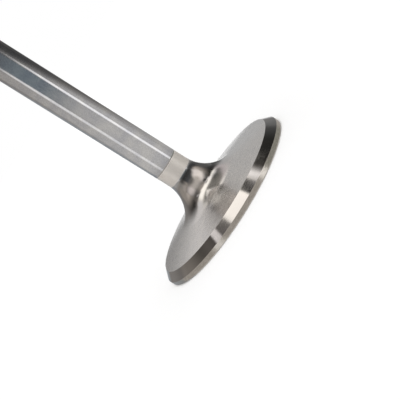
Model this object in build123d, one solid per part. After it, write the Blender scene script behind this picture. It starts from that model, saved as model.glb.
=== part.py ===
from build123d import *
import os
from math import radians, tan

# Engine poppet valve: one forging, turned and ground all over.
# The stem lies along Z and points up. The valve stands on its combustion face,
# and the origin is the centre of that face. All sizes are in millimetres and degrees.

# Head
head_diameter = 50.8
face_edge_break = 0.25  # 45 degree break between the combustion face and the margin
margin_height = 1.48  # from the combustion face to the lower edge of the seat
seat_width = 2.03  # measured along the radius
seat_angle = 45.0  # from the plane of the combustion face
back_angle = 10.0  # the shallow cone behind the seat, from the same plane

# Neck
neck_diameter = 8.65  # unplated, a little under the stem
neck_fillet = 9.84  # sweeps from the back cone up into the neck
neck_land = 3.6  # straight neck between the fillet and the plating

# Stem
stem_diameter = 8.73
plating_runout = 0.3  # length over which the plated stem tapers down to the neck
overall_length = 124.8

# Tip
tip_chamfer = 0.8
tip_to_groove = 6.35  # from the tip to the upper shoulder of the keeper groove
groove_width = 2.0
groove_depth = 0.7
groove_corner_radius = 0.35


def revolved(outline):
    """The solid swept by a closed outline, drawn as (radius, height), about the stem axis."""
    return revolve(Plane.XZ * outline, Axis.Z)


def blank():
    """Head, neck and stem as one turned form."""
    head_radius = head_diameter / 2
    neck_radius = neck_diameter / 2
    stem_radius = stem_diameter / 2

    seat_inner_radius = head_radius - seat_width
    seat_top = margin_height + seat_width * tan(radians(seat_angle))

    # The back cone and the neck would meet here if the fillet weren't between them.
    neck_root = seat_top + (seat_inner_radius - neck_radius) * tan(radians(back_angle))
    fillet_top = neck_root + neck_fillet * tan(radians((90 - back_angle) / 2))
    neck_top = fillet_top + neck_land

    outline = make_face(
        Polyline(
            (0, 0),
            (head_radius - face_edge_break, 0),
            (head_radius, face_edge_break),
            (head_radius, margin_height),
            (seat_inner_radius, seat_top),
            (neck_radius, neck_root),
            (neck_radius, neck_top),
            (stem_radius, neck_top + plating_runout),
            (stem_radius, overall_length - tip_chamfer),
            (stem_radius - tip_chamfer, overall_length),
            (0, overall_length),
            close=True,
        )
    )
    root_corner = outline.vertices().sort_by_distance((neck_radius, neck_root))[0]
    return revolved(fillet(root_corner, neck_fillet))


def keeper_groove():
    """The ring cut away below the tip, where the split keepers grip the stem."""
    stem_radius = stem_diameter / 2
    floor_radius = stem_radius - groove_depth
    top = overall_length - tip_to_groove
    bottom = top - groove_width
    outside = stem_radius + groove_depth  # anywhere clear of the stem

    outline = make_face(
        Polyline(
            (outside, bottom),
            (floor_radius, bottom),
            (floor_radius, top),
            (outside, top),
            close=True,
        )
    )
    floor_corners = outline.vertices().group_by(Axis.X)[0]
    return revolved(fillet(floor_corners, groove_corner_radius))


valve = blank() - keeper_groove()

os.makedirs("parts", exist_ok=True)
export_step(valve, "parts/valve.step")
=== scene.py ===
from math import atan2, cos, pi, radians, sin, tan

import bpy
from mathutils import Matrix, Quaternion, Vector


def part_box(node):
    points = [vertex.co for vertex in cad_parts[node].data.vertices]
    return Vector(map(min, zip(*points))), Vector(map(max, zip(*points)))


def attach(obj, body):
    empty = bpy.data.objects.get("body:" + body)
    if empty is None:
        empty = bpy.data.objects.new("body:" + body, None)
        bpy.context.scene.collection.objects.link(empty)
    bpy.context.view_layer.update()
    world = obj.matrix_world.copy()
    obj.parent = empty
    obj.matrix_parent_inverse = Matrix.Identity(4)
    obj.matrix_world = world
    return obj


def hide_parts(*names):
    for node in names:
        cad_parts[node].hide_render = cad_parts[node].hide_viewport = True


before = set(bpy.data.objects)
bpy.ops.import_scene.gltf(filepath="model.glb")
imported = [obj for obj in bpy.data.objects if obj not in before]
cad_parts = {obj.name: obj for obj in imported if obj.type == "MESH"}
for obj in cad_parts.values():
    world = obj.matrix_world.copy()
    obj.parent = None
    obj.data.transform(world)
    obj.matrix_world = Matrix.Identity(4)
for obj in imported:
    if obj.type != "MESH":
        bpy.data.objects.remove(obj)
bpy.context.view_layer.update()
scene = bpy.context.scene
scene.view_settings.view_transform = "Standard"
print("frame loaded")

mm = 0.001
micron = 0.000001


# small helpers for node trees

def addNode(tree, kind, inputs=None, **settings):
    node = tree.nodes.new(kind)
    for name, value in settings.items():
        setattr(node, name, value)
    for name, value in (inputs or {}).items():
        plug(tree, value, node.inputs[name])
    return node


def plug(tree, value, socket):
    if isinstance(value, bpy.types.NodeSocket):
        tree.links.new(value, socket)
    else:
        socket.default_value = value


def math(tree, operation, *values, clamp=False):
    node = tree.nodes.new("ShaderNodeMath")
    node.operation = operation
    node.use_clamp = clamp
    for value, socket in zip(values, node.inputs):
        plug(tree, value, socket)
    return node.outputs[0]


def vectorMath(tree, operation, *values):
    node = tree.nodes.new("ShaderNodeVectorMath")
    node.operation = operation
    for value, socket in zip(values, node.inputs):
        plug(tree, value, socket)
    return node.outputs["Value" if operation in ("DOT_PRODUCT", "LENGTH") else "Vector"]


def smoothStep(tree, value, low, high, fromValue=0.0, toValue=1.0):
    node = addNode(tree, "ShaderNodeMapRange", interpolation_type="SMOOTHSTEP")
    for slot, number in enumerate((value, low, high, fromValue, toValue)):
        plug(tree, number, node.inputs[slot])
    return node.outputs["Result"]


def mixColour(tree, factor, first, second):
    node = addNode(tree, "ShaderNodeMix", data_type="RGBA")
    plug(tree, factor, node.inputs[0])
    plug(tree, first, node.inputs[6])
    plug(tree, second, node.inputs[7])
    return node.outputs[2]


def multiplyColour(tree, first, second):
    node = addNode(tree, "ShaderNodeMix", data_type="RGBA", blend_type="MULTIPLY")
    for slot, value in ((0, 1.0), (6, first), (7, second)):
        plug(tree, value, node.inputs[slot])
    return node.outputs[2]


def mixShader(tree, factor, first, second):
    node = tree.nodes.new("ShaderNodeMixShader")
    for socket, value in zip(node.inputs, (factor, first, second)):
        tree.links.new(value, socket)
    return node.outputs[0]


def newGroup(name, inputs, outputs):
    group = bpy.data.node_groups.new(name, "ShaderNodeTree")
    for socketName, kind, value in inputs:
        socket = group.interface.new_socket(socketName, in_out="INPUT", socket_type="NodeSocket" + kind)
        if value is not None:
            socket.default_value = value
    for socketName, kind in outputs:
        group.interface.new_socket(socketName, in_out="OUTPUT", socket_type="NodeSocket" + kind)
    return group, group.nodes.new("NodeGroupInput"), group.nodes.new("NodeGroupOutput")


def useGroup(tree, group, inputs=None):
    return addNode(tree, "ShaderNodeGroup", inputs, node_tree=group)


# camera: low beside the head, rolled so that the stem runs to the upper left

cameraSetup = dict(
    place=(0.0, -248.6 * mm, 55.0 * mm),
    aim=(-3.13 * mm, 0.0, 5.91 * mm),
    roll=-58.09,
    lens=87.12,
    sensor=36.0,
    nearClip=0.01,
)


def makeCamera(setup):
    data = bpy.data.cameras.new("camera")
    data.lens = setup["lens"]
    data.sensor_width = setup["sensor"]
    data.clip_start = setup["nearClip"]
    camera = bpy.data.objects.new("camera", data)
    place = Vector(setup["place"])
    look = (Vector(setup["aim"]) - place).to_track_quat("-Z", "Y")
    camera.rotation_mode = "QUATERNION"
    camera.rotation_quaternion = look @ Quaternion((0, 0, 1), radians(setup["roll"]))
    camera.location = place
    scene.collection.objects.link(camera)
    scene.camera = camera


makeCamera(cameraSetup)
print("camera placed")


# studio: what the metal mirrors, laid out as a dome seen from the object, and a white floor

def cardGroup():
    group, given, out = newGroup(
        "lightCard",
        [("Place", "Vector", None), ("Centre", "Vector", None), ("Half Size", "Vector", None),
         ("Period", "Float", 1000.0), ("Turn", "Float", 0.0), ("Corner", "Float", 0.05),
         ("Soft Edge", "Float", 0.1)],
        [("Mask", "Float")],
    )
    offset = vectorMath(group, "SUBTRACT", given.outputs["Place"], given.outputs["Centre"])
    parts = addNode(group, "ShaderNodeSeparateXYZ", {"Vector": offset}).outputs
    halfTrip = math(group, "MULTIPLY", given.outputs["Period"], 0.5)
    wrapped = math(group, "WRAP", parts["X"], halfTrip, math(group, "MULTIPLY", halfTrip, -1.0))
    offset = addNode(group, "ShaderNodeCombineXYZ", {"X": wrapped, "Y": parts["Y"]}).outputs[0]
    unturned = addNode(group, "ShaderNodeVectorRotate",
                       {"Vector": offset, "Angle": math(group, "MULTIPLY", given.outputs["Turn"], -1.0)},
                       rotation_type="Z_AXIS").outputs[0]
    corner = given.outputs["Corner"]
    inset = addNode(group, "ShaderNodeCombineXYZ", {"X": corner, "Y": corner}).outputs[0]
    core = vectorMath(group, "SUBTRACT", given.outputs["Half Size"], inset)
    beyond = vectorMath(group, "SUBTRACT", vectorMath(group, "ABSOLUTE", unturned), core)
    outside = vectorMath(group, "LENGTH", vectorMath(group, "MAXIMUM", beyond, (0.0, 0.0, 0.0)))
    sides = addNode(group, "ShaderNodeSeparateXYZ", {"Vector": beyond}).outputs
    inside = math(group, "MINIMUM", math(group, "MAXIMUM", sides["X"], sides["Y"]), 0.0)
    distance = math(group, "SUBTRACT", math(group, "ADD", outside, inside), corner)
    halfSoft = math(group, "MULTIPLY", given.outputs["Soft Edge"], 0.5)
    mask = smoothStep(group, distance, math(group, "MULTIPLY", halfSoft, -1.0), halfSoft, 1.0, 0.0)
    group.links.new(mask, out.inputs["Mask"])
    return group


room = dict(
    level=0.61,  # where no card is
    tint=(1.13, 0.99, 0.87),
    paperLevel=0.55,  # the plain room that lights the floor
    lowestLift=0.05,  # keeps the plan finite straight below
    onceRound=3.6,  # walls are laid out in hundreds of degrees
    endless=1000.0,  # sheets never come round again
)

# sheets lie on the dome's plan: across, away from the camera, 1 is the horizon; walls go by degrees round
# the object from the camera's side, and by the same plan's radius
# where, centre (2), width, depth, turn, corner, soft edge, level, tint; later cards cover earlier ones
cards = dict(
    ground=("wall", 0, 4.921, 420, 8.0, 0, 0.0, 0.027, 0.598, (1.01, 1.00, 0.99)),
    marginLow=("wall", 0.0, 1.432, 420, 0.410, 0, 0.02, 0.020, 0.413, (1.05, 1.00, 0.95)),
    backWall=("wall", 169.8, 0.675, 140, 0.764, 0, 0.07, 0.400, 0.148, (1.10, 0.99, 0.91)),
    leftWall=("wall", -102.3, 0.825, 131, 0.312, 0, 0.03, 0.390, 0.246, (1.07, 1.00, 0.94)),
    leftBand=("wall", -107.5, 0.701, 45, 0.255, 0, 0.04, 0.121, 0.335, (1.12, 1.00, 0.88)),
    frontGrey=("wall", 3.4, 0.400, 169, 0.387, 0, 0.01, 0.178, 0.079, (1.06, 1.00, 0.95)),
    frontDark=("wall", 23.9, 0.771, 105, 0.411, 0, 0.06, 0.135, 0.116, (0.99, 0.99, 1.01)),
    frontBlue=("wall", 8.1, 0.833, 117, 0.254, 0, 0.12, 0.330, 0.041, (1.01, 1.00, 0.99)),
    rightRim=("wall", 98.1, 0.904, 60, 0.186, 0, 0.09, 0.123, 0.058, (1.00, 0.99, 1.01)),
    rightBack=("sheet", 0.559, 0.613, 0.463, 0.586, 40, 0.09, 0.187, 0.119, (1.03, 1.00, 0.97)),
    rightLobe=("sheet", 0.427, -0.284, 0.616, 0.377, 28, 0.19, 0.179, 0.990, (1.09, 0.99, 0.92)),
    nearFront=("sheet", 0.010, -0.364, 0.633, 0.224, -6, 0.09, 0.192, 0.571, (1.10, 1.00, 0.90)),
    backLight=("sheet", 0.102, 0.821, 0.367, 0.706, 7, 0.02, 0.400, 0.595, (1.00, 1.00, 1.00)),
    backRightDark=("sheet", 0.378, 0.578, 0.109, 0.676, 20, 0.05, 0.024, 0.089, (1.02, 1.00, 0.98)),
    backRightLow=("wall", 135.1, 0.972, 100, 0.020, 0, 0.01, 0.237, 0.050, (0.95, 0.99, 1.07)),
    leftArc=("wall", -59.7, 0.417, 46, 0.238, 0, 0.12, 0.166, 0.775, (1.09, 0.98, 0.92)),
    ringDark=("sheet", 0.046, 0.170, 0.987, 0.558, 9, 0.28, 0.321, 0.016, (1.07, 1.02, 0.90)),
    backFill=("sheet", 0.053, 0.424, 0.550, 0.661, 3, 0.18, 0.189, 0.532, (1.03, 1.00, 0.97)),
    hoopOut=("sheet", 0.074, 0.181, 0.513, 0.657, -42, 0.25, 0.023, 1.480, (1.07, 1.01, 0.92)),
    hoopRight=("sheet", 0.290, 0.166, 0.066, 0.430, -18, 0.03, 0.050, 1.409, (1.05, 0.99, 0.95)),
    hoopFade=("sheet", 0.220, 0.376, 0.285, 0.264, 6, 0.09, 0.130, 0.620, (1.08, 0.97, 0.95)),
    hoopIn=("sheet", 0.074, 0.172, 0.390, 0.361, 25, 0.17, 0.063, 0.226, (1.09, 1.01, 0.90)),
    innerDark=("sheet", 0.264, 0.236, 0.111, 0.283, -16, 0.06, 0.170, 0.075, (1.03, 1.02, 0.95)),
    backLift=("sheet", -0.143, 0.307, 0.087, 0.630, -23, 0.04, 0.149, 0.197, (1.12, 0.98, 0.89)),
    backSpot=("sheet", -0.136, 0.366, 0.088, 0.549, -13, 0.04, 0.020, 0.855, (1.04, 0.99, 0.96)),
    centre=("sheet", 0.068, -0.115, 0.324, 0.024, 2, 0.01, 0.031, 1.330, (1.08, 1.00, 0.92)),
    notchRight=("sheet", 0.188, -0.122, 0.101, 0.124, 27, 0.01, 0.019, 0.020, (1.06, 0.99, 0.95)),
    notchLeft=("sheet", -0.146, -0.087, 0.090, 0.024, -22, 0.01, 0.027, 0.163, (1.09, 0.99, 0.92)),
    stripRight=("sheet", 0.205, -0.079, 0.180, 0.024, 37, 0.01, 0.020, 1.050, (1.07, 0.99, 0.94)),
    stripLeft=("sheet", -0.214, -0.048, 0.060, 0.018, -30, 0.01, 0.024, 1.150, (1.06, 0.99, 0.96)),
    backShade=("wall", -149.0, 1.450, 44, 0.960, 0, 0.10, 0.120, 0.360, (0.94, 1.00, 1.06)),
    streakBack=("wall", 178.0, 1.450, 13, 0.940, 0, 0.06, 0.070, 1.150, (1.00, 1.00, 1.00)),
    horizonBlue=("wall", 2.0, 0.982, 84, 0.070, 0, 0.03, 0.050, 0.225, (0.84, 1.01, 1.15)),
    streakLeft=("wall", -46.0, 1.200, 16, 0.500, 0, 0.07, 0.060, 0.950, (1.00, 1.00, 1.01)),
    streakRight=("wall", 53.5, 1.200, 15, 0.460, 0, 0.05, 0.060, 1.270, (1.00, 1.00, 1.01)),
    marginDark=("wall", 98.5, 1.436, 77, 0.428, 0, 0.02, 0.064, 0.302, (1.02, 1.03, 0.94)),
)


def makeStudio(cards, room):
    world = bpy.data.worlds.new("studio")
    scene.world = world
    world.use_nodes = True
    tree = world.node_tree
    tree.nodes.clear()
    ray = addNode(tree, "ShaderNodeTexCoord").outputs["Generated"]
    parts = addNode(tree, "ShaderNodeSeparateXYZ", {"Vector": ray}).outputs
    lift = math(tree, "MAXIMUM", math(tree, "ADD", parts["Z"], 1.0), room["lowestLift"])
    across = math(tree, "DIVIDE", parts["X"], lift)
    away = math(tree, "DIVIDE", parts["Y"], lift)
    sheetPlace = addNode(tree, "ShaderNodeCombineXYZ", {"X": across, "Y": away}).outputs[0]
    turn = math(tree, "ARCTAN2", across, math(tree, "MULTIPLY", away, -1.0))
    turn = math(tree, "MULTIPLY", turn, room["onceRound"] / (2 * pi))
    radius = vectorMath(tree, "LENGTH", sheetPlace)
    wallPlace = addNode(tree, "ShaderNodeCombineXYZ", {"X": turn, "Y": radius}).outputs[0]
    colour = (*[room["level"] * part for part in room["tint"]], 1.0)
    group = cardGroup()
    for name, (where, x, y, width, depth, turned, corner, soft, level, tint) in cards.items():
        if where == "wall":
            place, scale, period = wallPlace, room["onceRound"] / 360, room["onceRound"]
        else:
            place, scale, period = sheetPlace, 1.0, room["endless"]
        card = useGroup(tree, group, {
            "Place": place, "Centre": (x * scale, y, 0.0), "Half Size": (width * scale / 2, depth / 2, 0.0),
            "Period": period, "Turn": radians(turned), "Corner": corner, "Soft Edge": soft})
        card.label = name
        colour = mixColour(tree, card.outputs["Mask"], colour, (*[level * part for part in tint], 1.0))
    lightPath = addNode(tree, "ShaderNodeLightPath").outputs
    light = addNode(tree, "ShaderNodeBackground", {"Color": colour, "Strength": 1.0}).outputs[0]
    plain = addNode(tree, "ShaderNodeBackground",
                    {"Color": (1.0, 1.0, 1.0, 1.0), "Strength": room["paperLevel"]}).outputs[0]
    white = addNode(tree, "ShaderNodeBackground", {"Color": (1.0, 1.0, 1.0, 1.0), "Strength": 1.0}).outputs[0]
    light = mixShader(tree, lightPath["Is Diffuse Ray"], light, plain)  # the floor needs no cards
    light = mixShader(tree, lightPath["Is Camera Ray"], light, white)
    output = addNode(tree, "ShaderNodeOutputWorld")
    tree.links.new(light, output.inputs["Surface"])


floorSetup = dict(
    radius=4.0,
    sides=96,
    colour=(0.8, 0.8, 0.8, 1.0),
    nearGlow=0.055,  # added for the camera alone: just enough for white paper, so that the shadow stays
    farGlow=0.565,  # more where the softbox falls off
    glowFrom=0.0,
    glowTo=1.0,
)


def makeFloor(setup):
    bpy.ops.mesh.primitive_circle_add(vertices=setup["sides"], radius=setup["radius"], fill_type="NGON")
    floor = bpy.context.object
    floor.name = "floor"
    floor.visible_glossy = False  # the ground card stands for it in the metal
    material = bpy.data.materials.new("floorPaper")
    material.use_nodes = True
    tree = material.node_tree
    tree.nodes.clear()
    paper = addNode(tree, "ShaderNodeBsdfDiffuse", {"Color": setup["colour"]})
    place = addNode(tree, "ShaderNodeTexCoord").outputs["Object"]
    glow = smoothStep(tree, vectorMath(tree, "LENGTH", place), setup["glowFrom"], setup["glowTo"],
                      setup["nearGlow"], setup["farGlow"])
    lightPath = addNode(tree, "ShaderNodeLightPath")
    shine = addNode(tree, "ShaderNodeEmission",
                    {"Strength": math(tree, "MULTIPLY", lightPath.outputs["Is Camera Ray"], glow)})
    both = addNode(tree, "ShaderNodeAddShader")
    tree.links.new(paper.outputs[0], both.inputs[0])
    tree.links.new(shine.outputs[0], both.inputs[1])
    tree.links.new(both.outputs[0], addNode(tree, "ShaderNodeOutputMaterial").inputs["Surface"])
    floor.data.materials.append(material)


lampSetup = dict(size=0.6, height=0.9, watts=6.0)


def makeLamp(setup):
    data = bpy.data.lights.new("softbox", "AREA")
    data.size = setup["size"]
    data.energy = setup["watts"]
    lamp = bpy.data.objects.new("softbox", data)
    lamp.location = (0.0, 0.0, setup["height"])
    lamp.visible_glossy = False
    scene.collection.objects.link(lamp)


makeStudio(cards, room)
makeFloor(floorSetup)
makeLamp(lampSetup)
print("studio lit")


# finishes: shared effects

markNoise = {"Scale": 1.0, "Detail": 3.0, "Roughness": 0.6}
cloudNoise = {"Detail": 2.0, "Roughness": 0.5, "Distortion": 0.4}
noiseLow, noiseHigh = 0.3, 0.7  # most of a noise lies between these


def turnedGroup():
    group, given, out = newGroup(
        "turnedSpace",  # places on the valve as a lathe knows them
        [],
        [("Ring", "Vector"), ("Place", "Vector"), ("Height", "Float"), ("Radius", "Float")],
    )
    place = addNode(group, "ShaderNodeTexCoord").outputs["Object"]
    parts = addNode(group, "ShaderNodeSeparateXYZ", {"Vector": place}).outputs
    flat = addNode(group, "ShaderNodeCombineXYZ", {"X": parts["X"], "Y": parts["Y"]}).outputs[0]
    around = vectorMath(group, "NORMALIZE", flat)
    around = addNode(group, "ShaderNodeSeparateXYZ", {"Vector": around}).outputs
    radius = vectorMath(group, "LENGTH", flat)
    travel = math(group, "SUBTRACT", parts["Z"], radius)  # grows along the outline, so marks stay apart
    ring = addNode(group, "ShaderNodeCombineXYZ",
                   {"X": around["X"], "Y": around["Y"], "Z": travel}).outputs[0]
    for name, value in (("Ring", ring), ("Place", place), ("Height", parts["Z"]), ("Radius", radius)):
        group.links.new(value, out.inputs[name])
    return group


def toolMarksGroup(turned):
    group, given, out = newGroup(
        "toolMarks",
        [("Marks Per Metre", "Float", 8000.0), ("Breaks Round", "Float", 3.0), ("Seed", "Float", 0.0)],
        [("Marks", "Float")],
    )
    ring = useGroup(group, turned).outputs["Ring"]
    breaks = given.outputs["Breaks Round"]
    stretch = addNode(group, "ShaderNodeCombineXYZ",
                      {"X": breaks, "Y": breaks, "Z": given.outputs["Marks Per Metre"]}).outputs[0]
    stretched = vectorMath(group, "MULTIPLY", ring, stretch)
    noise = addNode(group, "ShaderNodeTexNoise",
                    {"Vector": stretched, "W": given.outputs["Seed"], **markNoise}, noise_dimensions="4D")
    group.links.new(noise.outputs["Fac"], out.inputs["Marks"])
    return group


def handlingGroup(turned):
    group, given, out = newGroup(
        "handling",  # the faint film and clouding that wiping leaves on bright metal
        [("Clouds Per Metre", "Float", 300.0), ("Seed", "Float", 0.0)],
        [("Cloud", "Float")],
    )
    place = useGroup(group, turned).outputs["Place"]
    noise = addNode(group, "ShaderNodeTexNoise",
                    {"Vector": place, "W": given.outputs["Seed"], "Scale": given.outputs["Clouds Per Metre"],
                     **cloudNoise}, noise_dimensions="4D")
    group.links.new(smoothStep(group, noise.outputs["Fac"], noiseLow, noiseHigh), out.inputs["Cloud"])
    return group


def edgeWearAndHighlightGroup():
    group, given, out = newGroup(
        "edgeWearAndHighlight",  # machined edges: handling wears them smoother, and their brighter colour is a painted edge highlight
        [("Strength", "Float", 1.0)],
        [("Edge", "Float")],
    )
    near = addNode(group, "ShaderNodeAttribute", attribute_name="edgeNear").outputs["Fac"]
    group.links.new(math(group, "MULTIPLY", near, given.outputs["Strength"], clamp=True), out.inputs["Edge"])
    return group


turned = turnedGroup()
toolMarks = toolMarksGroup(turned)
handling = handlingGroup(turned)
edgeWearAndHighlight = edgeWearAndHighlightGroup()

# colour of the metal, its roughness, marks per metre along the outline, how often they break round it,
# how much they change the colour and the roughness, their depth, then how fine the handling clouds are
# and their tint
finishes = dict(
    seat=dict(colour=(0.65, 0.645, 0.64), rough=0.06, marks=26000.0, breaks=3.0, tone=0.05, grain=0.35,
              depth=1.2 * micron, clouds=260.0, film=(0.97, 0.975, 0.98), seed=1.0),
    margin=dict(colour=(0.60, 0.56, 0.51), rough=0.13, marks=12000.0, breaks=40.0, tone=0.16, grain=0.3,
                depth=8.0 * micron, clouds=900.0, film=(0.92, 0.925, 0.91), seed=2.0),
    back=dict(colour=(0.655, 0.65, 0.645), rough=0.24, marks=5000.0, breaks=6.0, tone=0.05, grain=0.3,
              depth=3.0 * micron, clouds=420.0, film=(0.93, 0.935, 0.95), seed=3.0),
    stem=dict(colour=(0.73, 0.715, 0.698), rough=0.075, marks=7000.0, breaks=9.0, tone=0.11, grain=0.4,
              depth=2.0 * micron, clouds=260.0, film=(0.82, 0.832, 0.878), seed=4.0),
    face=dict(colour=(0.6, 0.58, 0.56), rough=0.3, marks=5000.0, breaks=2.0, tone=0.1, grain=0.3,
              depth=10.0 * micron, clouds=200.0, film=(0.91, 0.92, 0.93), seed=5.0),
    groove=dict(colour=(0.56, 0.55, 0.54), rough=0.3, marks=12000.0, breaks=4.0, tone=0.1, grain=0.3,
                depth=8.0 * micron, clouds=600.0, film=(0.92, 0.92, 0.93), seed=6.0),
    tip=dict(colour=(0.62, 0.615, 0.61), rough=0.18, marks=9000.0, breaks=3.0, tone=0.08, grain=0.3,
             depth=5.0 * micron, clouds=500.0, film=(0.92, 0.925, 0.94), seed=7.0),
)
wornEdgeAndHighlight = dict(strength=1.0, share=0.5, paintedHighlight=1.25, rough=0.6)  # rough is a share of the finish's own; the brighter colour along the edges is a painted highlight
neckPolish = dict(rough=0.11, fullBelow=6.5 * mm, goneAbove=12.0 * mm)  # the fillet is brighter than the cone
neckLandFinish = dict(  # left satin and a little straw coloured where the plating stops
    colour=(0.97, 0.92, 0.86, 1.0), markTone=0.06, rough=0.42, metallic=0.66, startsAt=14.2 * mm,
    blend=0.5 * mm, within=6.0 * mm,
)
paintedStemReflection = dict(tone=0.76, startsAt=18.9 * mm, clearAt=22.2 * mm, wander=1.4 * mm)  # painted dark reflection: the stem's colour is darkest where the plating ends and clears further up


def shade(colour, amount):
    return (*[min(1.0, part * amount) for part in colour], 1.0)


def makeFinish(name, look):
    material = bpy.data.materials.new(name + "Metal")
    material.use_nodes = True
    tree = material.node_tree
    shader = tree.nodes["Principled BSDF"]
    shader.inputs["Metallic"].default_value = 1.0
    marks = useGroup(tree, toolMarks, {"Marks Per Metre": look["marks"], "Breaks Round": look["breaks"],
                                       "Seed": look["seed"]}).outputs["Marks"]
    clouds = useGroup(tree, handling, {"Clouds Per Metre": look["clouds"],
                                       "Seed": look["seed"]}).outputs["Cloud"]
    edge = useGroup(tree, edgeWearAndHighlight, {"Strength": wornEdgeAndHighlight["strength"]}).outputs["Edge"]
    metal, tone = look["colour"], look["tone"]
    colour = mixColour(tree, smoothStep(tree, marks, noiseLow, noiseHigh), shade(metal, 1 - tone),
                       shade(metal, 1 + tone))
    colour = mixColour(tree, clouds, colour, multiplyColour(tree, colour, shade(look["film"], 1.0)))
    # painted edge highlight: the metal's colour made brighter along the machined edges
    colour = mixColour(tree, math(tree, "MULTIPLY", edge, wornEdgeAndHighlight["share"]), colour,
                       shade(metal, wornEdgeAndHighlight["paintedHighlight"]))
    rough = smoothStep(tree, marks, noiseLow, noiseHigh, look["rough"] * (1 - look["grain"]),
                       look["rough"] * (1 + look["grain"]))
    if name == "back":
        colour, rough, metallic = addNeck(tree, colour, rough, marks)
        plug(tree, metallic, shader.inputs["Metallic"])
    if name == "stem":
        # painted dark reflection on the stem just above the plating's end
        colour = addPaintedStemReflection(tree, colour, clouds)
    rough = math(tree, "MULTIPLY", rough, smoothStep(tree, edge, 0.0, 1.0, 1.0, wornEdgeAndHighlight["rough"]))
    plug(tree, colour, shader.inputs["Base Color"])
    plug(tree, rough, shader.inputs["Roughness"])
    bump = addNode(tree, "ShaderNodeBump", {"Height": marks, "Distance": look["depth"], "Strength": 1.0})
    plug(tree, bump.outputs["Normal"], shader.inputs["Normal"])
    return material


def addNeck(tree, colour, rough, marks):
    spot = useGroup(tree, turned).outputs
    cone = smoothStep(tree, spot["Radius"], neckPolish["fullBelow"], neckPolish["goneAbove"],
                      neckPolish["rough"] / finishes["back"]["rough"], 1.0)
    rough = math(tree, "MULTIPLY", rough, cone)
    blend = neckLandFinish["blend"] / 2
    start = neckLandFinish["startsAt"]
    land = smoothStep(tree, spot["Height"], start - blend, start + blend)
    land = math(tree, "MULTIPLY", land, math(tree, "LESS_THAN", spot["Radius"], neckLandFinish["within"]))
    darker, lighter = 1 - neckLandFinish["markTone"], 1 + neckLandFinish["markTone"]
    grain = mixColour(tree, marks, (darker, darker, darker, 1.0), (lighter, lighter, lighter, 1.0))
    matte = multiplyColour(tree, neckLandFinish["colour"], grain)
    colour = mixColour(tree, land, colour, matte)
    rough = smoothStep(tree, land, 0.0, 1.0, rough, neckLandFinish["rough"])
    return colour, rough, smoothStep(tree, land, 0.0, 1.0, 1.0, neckLandFinish["metallic"])


# paints a dark reflection onto the stem: darker colour near the plating's end, its border wandering with the
# clouds
def addPaintedStemReflection(tree, colour, clouds):
    height = useGroup(tree, turned).outputs["Height"]
    uneven = math(tree, "ADD", height, math(tree, "MULTIPLY", clouds, paintedStemReflection["wander"]))
    tone = smoothStep(tree, uneven, paintedStemReflection["startsAt"], paintedStemReflection["clearAt"], paintedStemReflection["tone"], 1.0)
    return multiplyColour(tree, colour, tone)


# the valve: one outline turned about the stem

valveSizes = dict(
    edgeBreak=0.25 * mm,
    marginHeight=1.48 * mm,
    seatWidth=2.03 * mm,
    backAngle=10.0,
    neckRadius=4.325 * mm,
    neckFillet=9.84 * mm,
    neckLand=3.6 * mm,
    runout=0.3 * mm,
    stemRadius=4.365 * mm,
    tipChamfer=0.8 * mm,
    tipToGroove=6.35 * mm,
    grooveWidth=2.0 * mm,
    grooveDepth=0.7 * mm,
    grooveCorner=0.35 * mm,
    handEdge=0.05 * mm,  # how far each machined edge is rounded
    insideBox=0.001 * mm,  # keeps the turned skin within the solid's box
)


def valveCorners(sizes):
    low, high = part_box("valve")
    head, top = min(high.x, high.y) - sizes["insideBox"], high.z
    seatInner = head - sizes["seatWidth"]
    seatTop = sizes["marginHeight"] + sizes["seatWidth"]
    neck, stem, edge = sizes["neckRadius"], sizes["stemRadius"], sizes["handEdge"]
    root = seatTop + (seatInner - neck) * tan(radians(sizes["backAngle"]))
    neckTop = root + sizes["neckFillet"] * tan(radians((90 - sizes["backAngle"]) / 2)) + sizes["neckLand"]
    grooveTop = top - sizes["tipToGroove"]
    grooveBottom = grooveTop - sizes["grooveWidth"]
    floor = stem - sizes["grooveDepth"]
    return [  # radius, height, rounding, finish of the run that follows
        (0.0, 0.0, 0.0, "face"),
        (head - sizes["edgeBreak"], 0.0, edge, "margin"),
        (head, sizes["edgeBreak"], edge, "margin"),
        (head, sizes["marginHeight"], edge, "seat"),
        (seatInner, seatTop, edge, "back"),
        (neck, root, sizes["neckFillet"], "back"),
        (neck, neckTop, edge, "stem"),
        (stem, neckTop + sizes["runout"], edge, "stem"),
        (stem, grooveBottom, edge, "groove"),
        (floor, grooveBottom, sizes["grooveCorner"], "groove"),
        (floor, grooveTop, sizes["grooveCorner"], "groove"),
        (stem, grooveTop, edge, "stem"),
        (stem, top - sizes["tipChamfer"], edge, "tip"),
        (stem - sizes["tipChamfer"], top, edge, "tip"),
        (0.0, top, 0.0, "tip"),
    ]


meshing = dict(
    segments=256,
    arcStep=3.0,  # degrees
    longestRun=3.0 * mm,
    edgeWidth=0.12 * mm,  # how far the wear of an edge reaches
    widestEdge=0.3,  # of a run; a shorter run is all edge
)


def turnedBy(vector, angle):
    cosine, sine = cos(angle), sin(angle)
    return Vector((vector.x * cosine - vector.y * sine, vector.x * sine + vector.y * cosine))


def outwardFrom(run):
    return Vector((run.y, -run.x))


def cornerRings(here, before, after, rounding, arcStep):
    turn = atan2(before.cross(after), before.dot(after))
    side = 1.0 if turn > 0 else -1.0  # edges stand out, fillets curve in
    start = here - before * rounding * abs(tan(turn / 2))
    centre = start - outwardFrom(before) * rounding * side
    steps = max(2, round(abs(turn) / radians(arcStep)))
    rings = []
    for step in range(steps + 1):
        normal = outwardFrom(turnedBy(before, turn * step / steps))
        rings.append((centre + normal * rounding * side, normal))
    return rings


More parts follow.
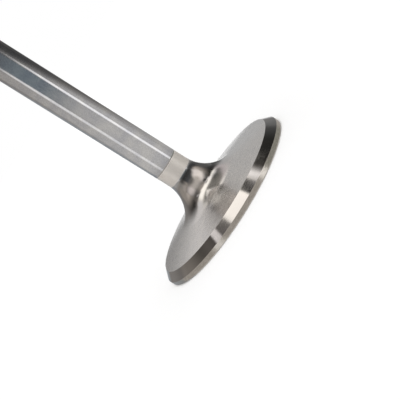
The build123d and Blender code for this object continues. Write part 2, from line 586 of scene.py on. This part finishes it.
def runRings(start, end, normal, meshing):
    length = (end - start).length
    edge = meshing["edgeWidth"] / length
    steps = max(1, round(length / meshing["longestRun"]))
    shares = [step / steps for step in range(1, steps)]
    if edge < meshing["widestEdge"]:
        shares = [edge] + [share for share in shares if edge < share < 1 - edge] + [1 - edge]
    return [(start.lerp(end, share), normal) for share in shares]


def outlineRings(corners, meshing):
    places = [Vector(corner[:2]) for corner in corners]
    runs = [(after - before).normalized() for before, after in zip(places, places[1:])]
    rings = [(places[0], outwardFrom(runs[0]), corners[0][3], 0.0)]
    for index in range(1, len(corners)):
        if index == len(corners) - 1:
            arc = [(places[-1], outwardFrom(runs[-1]))]
        else:
            rounding = corners[index][2]
            arc = cornerRings(places[index], runs[index - 1], runs[index], rounding, meshing["arcStep"])
        before, after = corners[index - 1][3], corners[index][3]
        for place, normal in runRings(rings[-1][0], arc[0][0], outwardFrom(runs[index - 1]), meshing):
            rings.append((place, normal, before, 0.0))
        machinedEdge = 1.0 if corners[index][2] and corners[index][2] <= valveSizes["grooveCorner"] else 0.0
        for step, (place, normal) in enumerate(arc):
            rings.append((place, normal, before if step < len(arc) // 2 else after, machinedEdge))
    return rings


def makeValve(corners, meshing, materials):
    rings = outlineRings(corners, meshing)
    count = meshing["segments"]
    turns = [2 * pi * step / count for step in range(count)]
    points, normals, edges = [], [], []
    firsts = []
    for place, normal, finish, edge in rings:
        firsts.append(len(points))
        around = turns if place.x > 0 else [0.0]
        for angle in around:
            points.append((place.x * cos(angle), place.x * sin(angle), place.y))
            normals.append((normal.x * cos(angle), normal.x * sin(angle), normal.y))
            edges.append(edge)
    faces, finishOf = [], []
    slots = list(materials)
    for index, (lower, upper) in enumerate(zip(firsts, firsts[1:])):
        for step in range(count):
            after = (step + 1) % count
            if rings[index][0].x == 0:
                face = (lower, upper + after, upper + step)
            elif rings[index + 1][0].x == 0:
                face = (lower + step, lower + after, upper)
            else:
                face = (lower + step, lower + after, upper + after, upper + step)
            faces.append(face)
            finishOf.append(slots.index(rings[index][2]))
    mesh = bpy.data.meshes.new("turnedValve")
    mesh.from_pydata(points, [], faces)
    for material in materials.values():
        mesh.materials.append(material)
    mesh.polygons.foreach_set("material_index", finishOf)
    mesh.polygons.foreach_set("use_smooth", [True] * len(faces))
    mesh.attributes.new("edgeNear", "FLOAT", "POINT").data.foreach_set("value", edges)
    mesh.normals_split_custom_set_from_vertices(normals)
    mesh.validate()
    valve = bpy.data.objects.new("turnedValve", mesh)
    scene.collection.objects.link(valve)
    print("valve turned:", len(rings), "rings,", len(faces), "faces")
    return valve


materials = {name: makeFinish(name, look) for name, look in finishes.items()}
valve = makeValve(valveCorners(valveSizes), meshing, materials)
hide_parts("valve")
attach(valve, "root")
